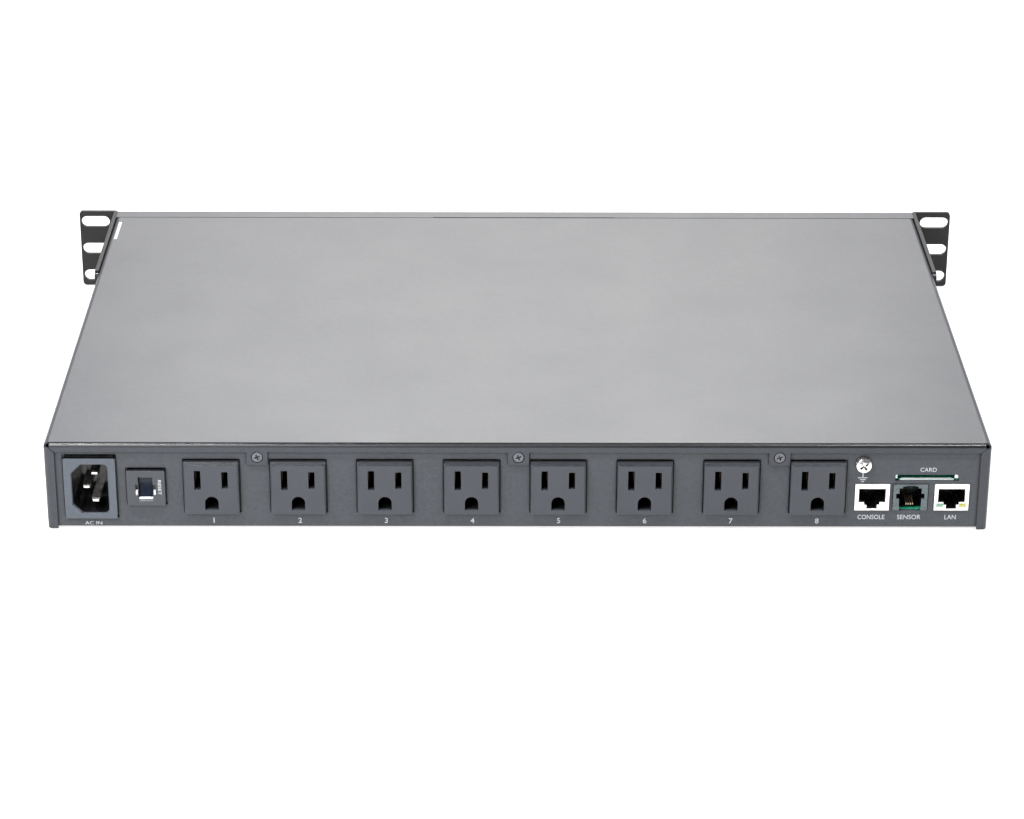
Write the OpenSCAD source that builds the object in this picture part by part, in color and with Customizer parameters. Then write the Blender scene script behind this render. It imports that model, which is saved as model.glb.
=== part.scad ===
// Rack power strip: a one-unit, 19 inch switched power distribution unit.
// X runs along the outlet row, Y from the outlet side to the rack-ear side, Z up.
// Inside the modules Y is measured from the outer face of the cover's rear lip;
// in_frame() then moves the whole unit so that its origin is the middle of its underside.

/* [Enclosure] */
// Outside width of the enclosure
body_w = 440; // [436:1:444]
// Outside height of the enclosure, one rack unit less its clearance
body_h = 43.7; // [43.5:0.1:44.4]
// Depth from the rear lip to the front face
body_d = 307; // [290:0.1:330]
// Thickness of the cover's steel
cover_t = 1; // [0.8:0.1:1.1]
// Thickness of the tray's and front panel's steel
tray_t = 1.2; // [1:0.1:1.4]
// Outside radius of the folded edges
fold_r = 2.3; // [1.5:0.1:2.5]
// Height of the lip that folds down over the rear panel
lip_h = 4.4; // [4:0.1:5]
// Width of the flanges that fold in over the rear panel's ends
flange_w = 4.9; // [4.5:0.1:5.5]
// Depth of the front panel's top and bottom flanges
front_flange = 10.6; // [10:0.1:12]

/* [Rack ears] */
// Width over both ears
rack_w = 482.6; // [482:0.1:483]
// Distance between the slot centres of the two ears
slot_span = 465.1; // [464:0.1:466]
// Distance between neighbouring slots in one ear
slot_pitch = 15.875; // [15.8:0.005:15.9]
// Length of a slot
slot_len = 15.6; // [12:0.1:15.8]
// Height of a slot
slot_h = 6.4; // [6:0.1:6.8]
// Thickness of the ear brackets
ear_t = 2; // [1.5:0.1:2.2]
// Length of a bracket's arm along the side
arm_len = 93; // [60:1:110]

/* [Outlets] */
// Distance between neighbouring outlets
outlet_pitch = 40.35; // [39:0.05:41]
// Middle of the outlet row, from the middle of the enclosure
outlet_row_x = -1.35; // [-2:0.05:1]
// Width of an outlet's face
outlet_w = 25.6; // [25:0.1:27]
// Height of an outlet's face
outlet_h = 26.4; // [26:0.1:28]
// Height of the middle of an outlet's face
outlet_z = 21.4; // [21:0.05:22.5]
// How far an outlet's face stands out of the rear panel
outlet_proud = 3; // [2:0.1:3.1]
// Distance between the two blade slots
blade_span = 12.7; // [12.6:0.1:12.8]
// Distance from the blade slots' middle down to the earth hole
earth_drop = 11.9; // [11.8:0.1:12]

/* [Controls] */
// Travel of the breaker's reset button when it trips
reset_travel = 3; // [2:0.5:3]
// How far the select button stands out of the front panel
select_proud = 1.2; // [1:0.1:1.5]

/* [Hidden] */
$fn = 48;

gap = 0.1;                                  // clearance between neighbouring sheets
panel_y = cover_t + gap;                    // outer face of the rear panel
panel_in = panel_y + tray_t;                // inner face of the rear panel
side_x = body_w / 2;                        // outer face of the cover's side
tray_x = side_x - cover_t - 0.35;           // outer face of the tray's side wall
cover_d = body_d - front_flange - 0.6;      // front edge of the cover
tray_d = body_d - front_flange - 1;         // front edge of the tray
front_y = body_d - tray_t;                  // inner face of the front panel
floor_z = tray_t;                           // upper face of the tray's floor
rearmost = -2.1;                            // head of the ground screw
frontmost = body_d + select_proud;
y_mid = (rearmost + frontmost) / 2;

// Rear-panel features: [x, z] of each middle
cover_screws = [for (i = [-1 : 1]) [0.3 + 121.3 * i, 36.8]];
tab_w = 9.8;
tab_z = 32.8;
inlet_at = [-199.1, 20.8];
breaker_at = [-173.1, 21.15];
outlets = [for (i = [0 : 7]) outlet_row_x + outlet_pitch * (i - 3.5)];
blade_z = outlet_z + 4.4;
earth_z = blade_z - earth_drop;
jack_w = 16.1;
jack_h = 13.3;
jack_d = 16;
jack_y = panel_y - 0.5;
console_x = 165.6;
sensor_x = 183.4;
lan_x = 202.75;
board_z = 8;                                // underside of every main board
board_t = 1.6;
jack_z = board_z + board_t;
card_x = 190.8;
card_w = 29.6;
card_z = 24.5;                              // upper face of the card board
card_h = 3.3;
ground_at = [160.8, 33.4];

// Front-panel features
window_x = [-62, -14];
window_z = [12, 32];
select_x = 4;
lights = [for (i = [0 : 7]) 30 + 12 * i];
light_z = 22;
bracket_bolts = [for (y = [arm_len - 11, 7]) for (z = [11, 33]) [body_d - y, z]];
select_travel = 1;

// ---------------------------------------------------------------- helpers

module in_frame() {
  translate([0, -y_mid, 0]) children();
}

module block(x, y, z) {
  translate([x[0], y[0], z[0]]) cube([x[1] - x[0], y[1] - y[0], z[1] - z[0]]);
}

// A block given by its middle and width in X and Z, and its two faces in Y
module slab(at, w, h, y) {
  block([at[0] - w / 2, at[0] + w / 2], y, [at[1] - h / 2, at[1] + h / 2]);
}

// A round bar along +Y
module bar_y(at, r, y, r2 = -1) {
  translate([at[0], y[0], at[1]])
    rotate([-90, 0, 0]) cylinder(r1 = r, r2 = r2 < 0 ? r : r2, h = y[1] - y[0]);
}

// A round bar along +Z
module bar_z(x, y, r, z) {
  translate([x, y, z[0]]) cylinder(r = r, h = z[1] - z[0]);
}

// A quarter of a folded edge: a ring sector between two angles of 90 degrees, in 2D
module fold2d(r, t) {
  intersection() {
    difference() {
      circle(r = r);
      circle(r = r - t);
    }
    square(r + 1);
  }
}

// A flat outline drawn in X and Z, given thickness from y[0] to y[1]
module plate_y(y) {
  translate([0, y[1], 0]) rotate([90, 0, 0]) linear_extrude(height = y[1] - y[0]) children();
}

// A rectangle with rounded corners, exact
module round_rect(w, h, r) {
  square([w - 2 * r, h], center = true);
  square([w, h - 2 * r], center = true);
  for (x = [-1, 1]) for (z = [-1, 1])
    translate([x * (w / 2 - r), z * (h / 2 - r)]) circle(r = r);
}

module mirrored() {
  children();
  mirror([1, 0, 0]) children();
}

// Cross recess of a Phillips screw, cut down from z = 0
module cross_recess(size, depth) {
  for (a = [0, 90])
    rotate([0, 0, a]) translate([-size / 2, -size / 9, -depth]) cube([size, size / 4.5, depth + 1]);
}

// Countersunk screw: head at z = 0, shank running down
module flat_screw(head_r, shank_r, length) {
  head = head_r - shank_r;
  difference() {
    union() {
      translate([0, 0, -0.3]) cylinder(r = head_r, h = 0.3);
      translate([0, 0, -0.3 - head]) cylinder(r1 = shank_r, r2 = head_r, h = head);
      translate([0, 0, -length]) cylinder(r = shank_r, h = length - head - 0.3);
    }
    rotate([0, 0, 20]) cross_recess(head_r * 1.15, head_r * 0.42);
  }
}

// Ring with a plain hole
module ring(outer, inner, h) {
  difference() {
    cylinder(r = outer, h = h);
    translate([0, 0, -1]) cylinder(r = inner, h = h + 2);
  }
}

function unit(v) = v / norm(v);
function bezier(p, t) =
  pow(1 - t, 3) * p[0] + 3 * pow(1 - t, 2) * t * p[1] + 3 * (1 - t) * t * t * p[2] + pow(t, 3) * p[3];
// Points along a Bezier curve, with a short straight run at each end so that the ends are square
function curve(p, steps) = let (stub = 0.5) concat(
  [p[0], p[0] + stub * unit(p[1] - p[0])],
  [for (i = [1 : steps - 1]) bezier(p, i / steps)],
  [p[3] - stub * unit(p[3] - p[2]), p[3]]
);

// A closed tube of the given outline (in the plane across the path) swept along points;
// side is a direction that the path never runs along
module sweep(outline, points, side) {
  n = len(outline);
  last = len(points) - 1;
  rings = [for (i = [0 : last])
    let (
      ahead = unit(points[min(i + 1, last)] - points[max(i - 1, 0)]),
      across = unit(cross(ahead, side)),
      upward = cross(across, ahead)
    )
    for (q = outline) points[i] + across * q[0] + upward * q[1]];
  walls = [for (i = [0 : last - 1]) for (k = [0 : n - 1])
    [i * n + k, (i + 1) * n + k, (i + 1) * n + (k + 1) % n, i * n + (k + 1) % n]];
  caps = [[for (k = [0 : n - 1]) k], [for (k = [n - 1 : -1 : 0]) last * n + k]];
  polyhedron(points = rings, faces = concat(walls, caps), convexity = 6);
}

// Insulated wire of round section
module wire(points, r, side) {
  sweep([for (a = [0 : 45 : 315]) r * [cos(a), sin(a)]], points, side);
}

// ---------------------------------------------------------------- enclosure

// Channel of the cover: flat top and two sides, joined by folds
module cover_channel2d() {
  x = side_x - fold_r;
  z = body_h - fold_r;
  translate([-x, body_h - cover_t]) square([2 * x, cover_t]);
  for (s = [0, 1]) mirror([s, 0, 0]) {
    translate([side_x - cover_t, 0]) square([cover_t, z]);
    translate([x, z]) fold2d(fold_r, cover_t);
  }
}

// Half length of the fold between the cover's top and its rear lip
lip_x = side_x - flange_w + lip_h - fold_r;

// Lip at the rear edge of the cover's top, with its three screw tabs, drawn in X and Z
module rear_lip2d() {
  z0 = body_h - lip_h;
  x0 = side_x - flange_w;
  top = body_h - fold_r;
  polygon([[-x0, z0], [x0, z0], [lip_x, top], [-lip_x, top]]);
  for (s = cover_screws)
    translate([s[0] - tab_w / 2, tab_z]) square([tab_w, z0 - tab_z + 0.5]);
}

// Return flange at the rear edge of one side, drawn in X and Z, with its mitre under the lip
module side_flange2d() {
  mitre_gap = 0.4;
  x0 = side_x - flange_w;
  x1 = side_x - fold_r;
  z0 = body_h - lip_h - mitre_gap;
  top = body_h - fold_r;
  polygon([[x0, 0], [x1, 0], [x1, min(top, z0 + x1 - x0)], [min(x1, x0 + top - z0), top], [x0, z0]]);
}

module top_cover() {
  color([0.42, 0.42, 0.43])
  difference() {
    union() {
      plate_y([fold_r, cover_d]) cover_channel2d();
      plate_y([0, cover_t]) rear_lip2d();
      // fold between the top and the rear lip
      translate([-lip_x, fold_r, body_h - fold_r])
        rotate([90, 0, 90]) linear_extrude(height = 2 * lip_x)
          mirror([1, 0]) fold2d(fold_r, cover_t);
      mirrored() {
        plate_y([0, cover_t]) side_flange2d();
        // fold between the side and its flange
        translate([side_x - fold_r, fold_r, 0])
          linear_extrude(height = body_h - fold_r)
            mirror([0, 1]) fold2d(fold_r, cover_t);
      }
      // tongues that tuck under the front panel's top flange
      for (x = [-150, 0, 150]) {
        block([x - 15, x + 15], [cover_d - 10, cover_d], [body_h - cover_t - 1, body_h - cover_t]);
        block([x - 15, x + 15], [cover_d, cover_d + 7], [body_h - cover_t - 1, body_h - tray_t - gap]);
      }
    }
    for (s = cover_screws) {
      bar_y(s, 2.8, [-1, 0.42]);
      bar_y(s, 2.8, [0.41, 1.26], 1.95);
    }
    for (b = bracket_bolts)
      translate([0, b[0], b[1]]) rotate([0, 90, 0])
        cylinder(r = 2.3, h = body_w + 2, center = true);
  }
}

// Inlet, breaker and outlets stand through openings that are wider than they are by the
// slack, most of it above and to the right of them
slack = 1.2;
function opening_at(at) = at + [0.1, 0.35];

// Collar that closes such an opening from behind
module collar(at, w, h) {
  slab(at, w + 3.4, h + 4, [panel_in + 2 * gap, panel_in + 2]);
}

// Openings of the rear panel
module rear_cutouts() {
  y = [panel_y - 1, panel_in + 1];
  slab(opening_at(inlet_at) + [0, 0.35], inlet_size[0] + slack, inlet_size[1] + slack + 0.7, y);
  slab(opening_at(breaker_at), breaker_size + slack, breaker_size + slack, y);
  for (x = outlets) slab(opening_at([x, outlet_z]), outlet_w + slack, outlet_h + slack, y);
  for (x = [console_x, sensor_x, lan_x])
    slab([x, jack_z + jack_h / 2], jack_w + 0.6, jack_h + 0.5, y);
  slab([card_x, card_z + card_h / 2], card_w, card_h, y);
  for (s = cover_screws) bar_y(s, 2.15, y);
  bar_y(ground_at, 2.1, y);
}

module chassis_tray() {
  wall_h = 40;
  color([0.16, 0.16, 0.18])
  difference() {
    union() {
      // floor, rear fold and rear panel as one folded strip
      rotate([90, 0, 90]) translate([0, 0, -tray_x]) linear_extrude(height = 2 * tray_x) {
        translate([panel_y + fold_r, 0]) square([tray_d - panel_y - fold_r, tray_t]);
        translate([panel_y, fold_r]) square([tray_t, body_h - 2 * fold_r - gap]);
        translate([panel_y + fold_r, fold_r]) rotate(180) fold2d(fold_r, tray_t);
      }
      mirrored() block([tray_x - tray_t, tray_x], [panel_in, tray_d], [0, wall_h]);
      // tongues that tuck over the front panel's bottom flange
      for (x = [-150, 0, 150]) {
        block([x - 15, x + 15], [tray_d - 10, tray_d + 8], [tray_t + gap, tray_t + 1 + gap]);
        block([x - 15, x + 15], [tray_d - 10, tray_d], [tray_t, tray_t + gap]);
      }
    }
    rear_cutouts();
    // the rear panel's ends stop short of the cover's folded corners
    mirrored() block([side_x - fold_r - gap, side_x], [panel_y - 1, fold_r], [-1, body_h]);
    for (b = bracket_bolts)
      translate([0, b[0], b[1]]) rotate([0, 90, 0])
        cylinder(r = 2.1, h = body_w + 2, center = true);
  }
}

module front_panel() {
  x = side_x - gap;
  color([0.14, 0.14, 0.15])
  difference() {
    union() {
      rotate([90, 0, 90]) translate([0, 0, -x]) linear_extrude(height = 2 * x) {
        translate([front_y, fold_r]) square([tray_t, body_h - 2 * fold_r]);
        for (s = [0, 1]) translate([0, s * body_h]) mirror([0, s]) {
          translate([body_d - front_flange, 0]) square([front_flange - fold_r, tray_t]);
          translate([body_d - fold_r, fold_r]) rotate(-90) fold2d(fold_r, tray_t);
        }
      }
      // side flanges that the brackets bolt to
      mirrored() block([x - tray_t, x], [body_d - front_flange, front_y], [3, body_h - 3]);
    }
    block([window_x[0], window_x[1]], [front_y - 1, body_d + 1], window_z);
    // relief along the middle of the top flange's seam
    block([-45, 55], [body_d - front_flange - 1, body_d - front_flange + 0.5], [body_h - tray_t - 1, body_h + 1]);
    slab([select_x, light_z], 8.6, 6.6, [front_y - 1, body_d + 1]);
    for (lx = lights) bar_y([lx, light_z], 1.65, [front_y - 1, body_d + 1]);
    for (b = bracket_bolts)
      translate([0, b[0], b[1]]) rotate([0, 90, 0])
        cylinder(r = 2.1, h = body_w + 2, center = true);
  }
}

// ---------------------------------------------------------------- rack ears

// Outline of an ear drawn in X and Z: outer corners rounded, three slots
module ear2d() {
  r = 2;
  x0 = side_x + ear_t + 0.5;
  x1 = rack_w / 2;
  difference() {
    union() {
      translate([x0, 0]) square([x1 - r - x0, body_h]);
      translate([x1 - r - 0.01, r]) square([r + 0.01, body_h - 2 * r]);
      for (z = [r, body_h - r]) translate([x1 - r, z]) circle(r = r);
    }
    for (i = [-1 : 1]) translate([slot_span / 2, body_h / 2 + i * slot_pitch])
      round_rect(slot_len, slot_h, slot_h / 2 - 0.001);
  }
}

// One L bracket on the +X side: ear, fold and arm
module bracket() {
  bend = ear_t + 0.5;
  arm_r = 4;
  arm_y = body_d - arm_len;
  color([0.12, 0.12, 0.13])
  difference() {
    union() {
      plate_y([body_d - ear_t, body_d]) ear2d();
      translate([side_x + bend, body_d - bend, 0]) linear_extrude(height = body_h)
        rotate(90) fold2d(bend, ear_t);
      translate([side_x + ear_t, 0, 0]) rotate([90, 0, -90]) linear_extrude(height = ear_t)
        mirror([1, 0]) {
          translate([arm_y, arm_r]) square([arm_len - bend, body_h - 2 * arm_r]);
          translate([arm_y + arm_r, 0]) square([arm_len - bend - arm_r, body_h]);
          for (z = [arm_r, body_h - arm_r]) translate([arm_y + arm_r, z]) circle(r = arm_r);
        }
    }
    for (b = bracket_bolts) translate([side_x, b[0], b[1]]) rotate([0, 90, 0]) {
      translate([0, 0, -1]) cylinder(r = 2.3, h = ear_t + 2);
      cylinder(r1 = 2.3, r2 = 3.9, h = 1.6);
      translate([0, 0, 1.59]) cylinder(r = 3.9, h = 2);
    }
  }
}

module right_bracket() bracket();
module left_bracket() mirror([1, 0, 0]) bracket();

module bracket_screws() {
  color([0.18, 0.18, 0.19])
  mirrored() for (b = bracket_bolts)
    translate([side_x + ear_t - 0.1, b[0], b[1]]) rotate([0, 90, 0]) flat_screw(3.8, 1.95, 8);
}

module bracket_clinch_nuts() {
  color([0.75, 0.76, 0.78])
  // behind the tray's side walls, and behind the front panel's side flanges
  mirrored() for (b = bracket_bolts)
    translate([(b[0] < tray_d ? tray_x : side_x - gap) - tray_t - 2.2, b[0], b[1]])
      rotate([0, 90, 0]) ring(3, 1.96, 2.2);
}

module rear_cover_screws() {
  color([0.45, 0.46, 0.48])
  for (s = cover_screws)
    translate([s[0], 0.12, s[1]]) rotate([90, 0, 0]) flat_screw(2.4, 1.45, 7);
}

// Nuts pressed into the rear panel for the cover's screws and the ground screw
module panel_clinch_nuts() {
  color([0.75, 0.76, 0.78]) {
    for (s = cover_screws)
      translate([s[0], panel_in + 2.4, s[1]]) rotate([90, 0, 0]) ring(3.1, 1.5, 2.4);
    translate([ground_at[0], panel_in + 3, ground_at[1]]) rotate([90, 0, 0]) ring(3.8, 2, 3);
  }
}

// ---------------------------------------------------------------- power inlet and breaker

// Mouth of the appliance inlet: two bevelled corners on the left, two rounded on the right
module inlet_mouth2d(grow = 0) {
  w = 16.8 / 2 + grow;
  h = 24.6 / 2 + grow;
  bevel = 4.6;
  r = 2.2;
  polygon([[-w, -h + bevel], [-w + bevel, -h], [w - r, -h], [w - r, h], [-w + bevel, h], [-w, h - bevel]]);
  translate([w - r - 0.01, -h + r]) square([r + 0.01, 2 * (h - r)]);
  for (z = [-1, 1]) translate([w - r, z * (h - r)]) circle(r = r);
}

// [x, z] of the earth, line and neutral pins from the middle of the inlet
inlet_pins_at = [[-1.9, 0], [2.1, 7], [2.1, -7]];
inlet_size = [24.2, 30.7];
inlet_face = panel_y - 1.8;
inlet_depth = 17.5;
inlet_back = 22;

module inlet_housing() {
  color([0.24, 0.26, 0.29])
  translate([inlet_at[0], 0, inlet_at[1]])
  difference() {
    union() {
      plate_y([inlet_face, panel_in + 1]) round_rect(inlet_size[0], inlet_size[1], 0.8);
      collar([0, 0], inlet_size[0], inlet_size[1]);
      slab([0, 0], 20, 27, [panel_in + 1, inlet_back]);
    }
    plate_y([inlet_face - 1, inlet_face + inlet_depth]) inlet_mouth2d();
    // the entry of the mouth opens out a little
    plate_y([inlet_face - 1, inlet_face + 0.5]) inlet_mouth2d(0.35);
    for (p = inlet_pins_at) slab(p, 4.02, 2.02, [inlet_face + inlet_depth - 1, inlet_back + 1]);
  }
}

module inlet_pins() {
  tip = inlet_face + 2.2;
  color([0.78, 0.76, 0.70])
  translate([inlet_at[0], 0, inlet_at[1]])
  for (p = inlet_pins_at) {
    hull() {
      slab(p, 4, 2, [tip + 1, inlet_back]);
      slab(p, 2.6, 0.9, [tip, tip + 1]);
    }
    slab(p, 4, 0.8, [inlet_back, inlet_back + 8]);
  }
}

breaker_size = 17.8;
breaker_face = panel_y - 1.9;
reset_w = 6.8;
reset_h = 11.4;
reset_drop = -0.1;                          // the pocket sits a little below the middle

module breaker_housing() {
  color([0.17, 0.17, 0.19])
  translate([breaker_at[0], 0, breaker_at[1]])
  difference() {
    union() {
      plate_y([breaker_face, panel_in + 1]) round_rect(breaker_size, breaker_size, 0.5);
      collar([0, 0], breaker_size, breaker_size);
      slab([0, 0], 15, 15, [panel_in + 1, panel_y + 26]);
    }
    translate([-0.2, 0, reset_drop]) {
      slab([0, 0], reset_w, reset_h, [breaker_face - 1, breaker_face + 14]);
      // side notches of the pocket, with sloping floors
      translate([-reset_w / 2 - 1.4, breaker_face, 0]) rotate([90, 0, 90])
        linear_extrude(height = reset_w + 2.8)
          polygon([[-1, 2], [2, 2], [2, -1.2], [0, -3.6], [-1, -3.6]]);
      // bevel along the pocket's lower edge
      translate([-reset_w / 2, breaker_face, -reset_h / 2]) rotate([90, 0, 90])
        linear_extrude(height = reset_w)
          polygon([[-1, -0.8], [0, -0.8], [0.8, 0.1], [-1, 0.1]]);
    }
    for (s = [-1, 1]) slab([0, s * 4.5], 6.32, 0.82, [panel_y + 20, panel_y + 27]);
  }
}

// Reset button: flat above, with a shallow dish below that leans out to its lower edge
module breaker_button() {
  back = breaker_face + 3.4;                  // the flat upper part
  crease = 1.8;
  dish_r = 57;
  w = reset_w / 2 - 0.2;
  h = reset_h / 2 - 0.2;
  color([0.06, 0.07, 0.09])
  translate([breaker_at[0] - 0.2, 0, breaker_at[1] + reset_drop]) {
    block([-w, w], [back, breaker_face + 10], [crease, h]);
    difference() {
      block([-w, w], [back - 2.4, breaker_face + 10], [-h, crease]);
      translate([0, back - dish_r * cos(12), crease + dish_r * sin(12)]) rotate([0, 90, 0])
        cylinder(r = dish_r, h = reset_w + 1, center = true, $fn = 360);
    }
  }
}

module breaker_terminals() {
  color([0.78, 0.70, 0.45])
  translate([breaker_at[0], 0, breaker_at[1]])
  for (s = [-1, 1]) slab([0, s * 4.5], 6.3, 0.8, [panel_y + 20, panel_y + 34]);
}

// ---------------------------------------------------------------- outlets

outlet_face = panel_y - outlet_proud;
outlet_wall = 3;                            // thickness of the outlet's face
outlet_back = 19;
contact_y = [outlet_face + outlet_wall + 4, outlet_back - 1];

line_tab = 3;                               // the line tabs stop short of the bus bars
long_tab = 8;

// Earth hole: round above, flat below
module earth_hole2d() {
  r = 3.15;
  translate([0, 0.35]) circle(r = r);
  translate([-r, -3.4]) square([2 * r, 3.75]);
}

// Face of one outlet at x: bevelled along its top and sides, with three holes through it
module outlet(x) {
  bevel = 1.3;
  face_back = outlet_face + outlet_wall;
  color([0.15, 0.15, 0.17])
  difference() {
    translate([x - outlet_w / 2, 0, outlet_z]) rotate([90, 0, 90]) linear_extrude(height = outlet_w)
      polygon([
        [outlet_face, -outlet_h / 2 + 0.4], [outlet_face + 0.4, -outlet_h / 2],
        [face_back, -outlet_h / 2], [face_back, outlet_h / 2],
        [outlet_face + bevel, outlet_h / 2], [outlet_face, outlet_h / 2 - bevel]
      ]);
    // narrow bevels on the two upright edges of the face
    for (s = [0, 1]) translate([x, 0, 0]) mirror([s, 0, 0])
      translate([outlet_w / 2, outlet_face, -1]) rotate([0, 0, 45])
        translate([-0.5, -0.5, 0]) cube([1, 1, body_h + 2]);
    slab([x - blade_span / 2, blade_z], 3, 9.8, [outlet_face - 1, face_back + 1]);
    slab([x + blade_span / 2, blade_z], 2.9, 8.5, [outlet_face - 1, face_back + 1]);
    translate([x, 0, earth_z]) plate_y([outlet_face - 1, face_back + 1]) earth_hole2d();
  }
}

// Boxes behind the faces, with the chambers that hold the contacts
module outlet_housings() {
  y = [outlet_face + outlet_wall, outlet_back];
  chamber = [y[0] - 1, y[1] + 1];
  color([0.15, 0.15, 0.17])
  for (x = outlets) difference() {
    union() {
      slab([x, outlet_z], outlet_w, outlet_h, [y[0], panel_in + 1]);
      collar([x, outlet_z], outlet_w, outlet_h);
      slab([x, outlet_z], outlet_w - 1.8, outlet_h - 1.8, [panel_in + 1, y[1]]);
    }
    for (s = [-1, 1]) slab([x + s * blade_span / 2, blade_z], 5.2, 11.4, chamber);
    slab([x, earth_z - 0.2], 7.8, 7.6, chamber);
  }
}

// Blade contact: two spring leaves joined by a bridge, with a tab behind
module blade_contact(x, tab) {
  slab([x - 1.4, blade_z], 0.6, 8, [contact_y[0], contact_y[1] - 1]);
  slab([x + 1.4, blade_z], 0.6, 8, [contact_y[0], contact_y[1] - 1]);
  slab([x, blade_z], 3.4, 8, [contact_y[1] - 1, contact_y[1]]);
  slab([x, blade_z], 0.8, 6.3, [contact_y[1], contact_y[1] + tab]);
}

module outlet_line_contacts() {
  color([0.80, 0.62, 0.33]) for (x = outlets) blade_contact(x + blade_span / 2, line_tab);
}

module outlet_neutral_contacts() {
  color([0.80, 0.62, 0.33]) for (x = outlets) blade_contact(x - blade_span / 2, long_tab);
}

module outlet_earth_contacts() {
  color([0.80, 0.62, 0.33]) for (x = outlets) {
    for (s = [-1, 1]) slab([x + s * 2.9, earth_z], 0.6, 5.6, [contact_y[0], contact_y[1] - 1]);
    slab([x, earth_z], 6.4, 5.6, [contact_y[1] - 1, contact_y[1]]);
    slab([x, earth_z], 0.8, 5, [contact_y[1], contact_y[1] + long_tab]);
  }
}

bus_y = contact_y[1] + long_tab;            // ends of the neutral and earth tabs

// Neutral bar above, earth bar below
module bus_bars() {
  y = [bus_y, bus_y + 1.5];
  reach = [outlets[0] - 4, outlets[7] + 4];
  color([0.85, 0.55, 0.36]) {
    block([reach[0] - blade_span / 2, reach[1] - blade_span / 2], y, [blade_z - 2.5, blade_z + 2.5]);
    block(reach, y, [earth_z - 2.3, earth_z + 2.3]);
  }
}

// ---------------------------------------------------------------- power electronics

relay_y = [60, 89];
relay_w = 12.6;
relay_h = 15.7;
relay_board_x = [-156, 150.5];
relay_board_y = [42, 118];
board_top = board_z + board_t;

module drilled() {
  difference() {
    children();
    for (h = board_holes) bar_z(h[0], h[1], 1.7, [board_z - 1, board_top + 1]);
  }
}

module relay_board() {
  color([0.05, 0.33, 0.18])
  drilled() block(relay_board_x, relay_board_y, [board_z, board_top]);
}

// Eight sealed relays, each with a moulded skirt and a raised marking land
module outlet_relays() {
  color([0.12, 0.22, 0.45])
  for (x = outlets) {
    block([x - relay_w / 2, x + relay_w / 2], relay_y, [board_top, board_top + relay_h]);
    block([x - relay_w / 2 + 2, x + relay_w / 2 - 2], [relay_y[0] + 3, relay_y[1] - 3],
          [board_top + relay_h, board_top + relay_h + 0.3]);
  }
}

// Line wires from the relays' terminals up and over the bus bars to the line contacts
module outlet_line_wires() {
  color([0.08, 0.08, 0.09])
  for (x = outlets) {
    a = x + blade_span / 2;
    start = contact_y[1] + line_tab + 0.05;
    wire(concat(
      curve([[a, start, blade_z + 1.5], [a, start + 2.4, blade_z + 1.5], [a, start + 2.4, 36],
             [a, bus_y + 1, 36]], 8),
      curve([[a, bus_y + 2, 36], [a, 50, 36], [a, 53, 30], [a, 53, board_top]], 8)
    ), 1.1, [1, 0, 0]);
  }
}

// Wires between the inlet, breaker, current sensor and boards
module inlet_wires() {
  pin = [for (p = inlet_pins_at) inlet_at + p];
  far = inlet_back + 8;
  out = panel_y + 34;
  color([0.10, 0.10, 0.11]) {
    // inlet line pin to the breaker's upper terminal
    wire(curve([[pin[1][0], far, pin[1][1]], [pin[1][0], far + 24, pin[1][1]],
                [breaker_at[0], out + 22, breaker_at[1] + 6], [breaker_at[0], out, breaker_at[1] + 4.5]], 16),
         1.2, [0, 0, 1]);
    // breaker's lower terminal through the sensor to the relay board
    wire(concat(
      curve([[breaker_at[0], out, breaker_at[1] - 4.5], [breaker_at[0], out + 8, breaker_at[1] - 4.5],
             [breaker_at[0], 50, 22], [breaker_at[0], 58, 22]], 8),
      curve([[breaker_at[0], 80, 22], [breaker_at[0], 98, 22], [-150, 98, 26], [-150, 98, board_top]], 12)
    ), 1.2, [-1, 1, 1]);
    // inlet neutral pin to the supply board
    wire(curve([[pin[2][0], far, pin[2][1]], [pin[2][0], far + 16, pin[2][1]],
                [pin[2][0], 62, 24], [pin[2][0], 62, board_top]], 12),
         1.2, [1, 0, 0]);
  }
  // earth wire from the inlet to the tray's floor
  color([0.20, 0.55, 0.22])
    wire(curve([[pin[0][0], far, pin[0][1]], [pin[0][0], far + 12, pin[0][1]],
                [pin[0][0] - 4, 46, 16], [pin[0][0] - 4, 46, floor_z]], 12),
         1.2, [1, 0, 0]);
}

// Ring transformer that measures the total current, with a foot on the tray's floor
module current_sensor() {
  color([0.09, 0.10, 0.12]) {
    translate([breaker_at[0], 70, 22]) rotate([90, 0, 0]) translate([0, 0, -6]) ring(11, 5, 12);
    block([breaker_at[0] - 7, breaker_at[0] + 7], [64, 76], [floor_z, 14]);
  }
}

supply_x = [-212, -162];
supply_y = [56, 176];

module supply_board() {
  color([0.05, 0.33, 0.18])
  drilled() difference() {
    block(supply_x, supply_y, [board_z, board_top]);
    // the current sensor dips into this corner
    block([breaker_at[0] - 12.5, supply_x[1] + 1], [supply_y[0] - 1, 84], [board_z - 1, board_top + 1]);
  }
}

module supply_transformer() {
  x = -187;
  y = 132;
  color([0.75, 0.62, 0.25]) {
    block([x - 16, x + 16], [y - 13, y + 13], [board_top, board_top + 24]);
    for (s = [-1, 1]) block([x - 11, x + 11], [y + s * 13 - (s < 0 ? 4 : 0), y + s * 13 + (s < 0 ? 0 : 4)],
                            [board_top + 2, board_top + 22]);
  }
}

module supply_capacitors() {
  color([0.10, 0.12, 0.30])
  for (c = [[-202, 98, 8], [-182, 98, 8], [-200, 160, 5], [-187, 160, 5], [-174, 160, 5]])
    translate([c[0], c[1], board_top]) {
      cylinder(r = c[2], h = c[2] * 2.6);
      translate([0, 0, c[2] * 2.6]) cylinder(r = c[2] - 1, h = 0.4);
    }
}

// ---------------------------------------------------------------- network electronics

network_x = [155, 214];
network_y = [2.6, 132];

module network_board() {
  color([0.05, 0.36, 0.20])
  drilled() block(network_x, network_y, [board_z, board_top]);
}

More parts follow.
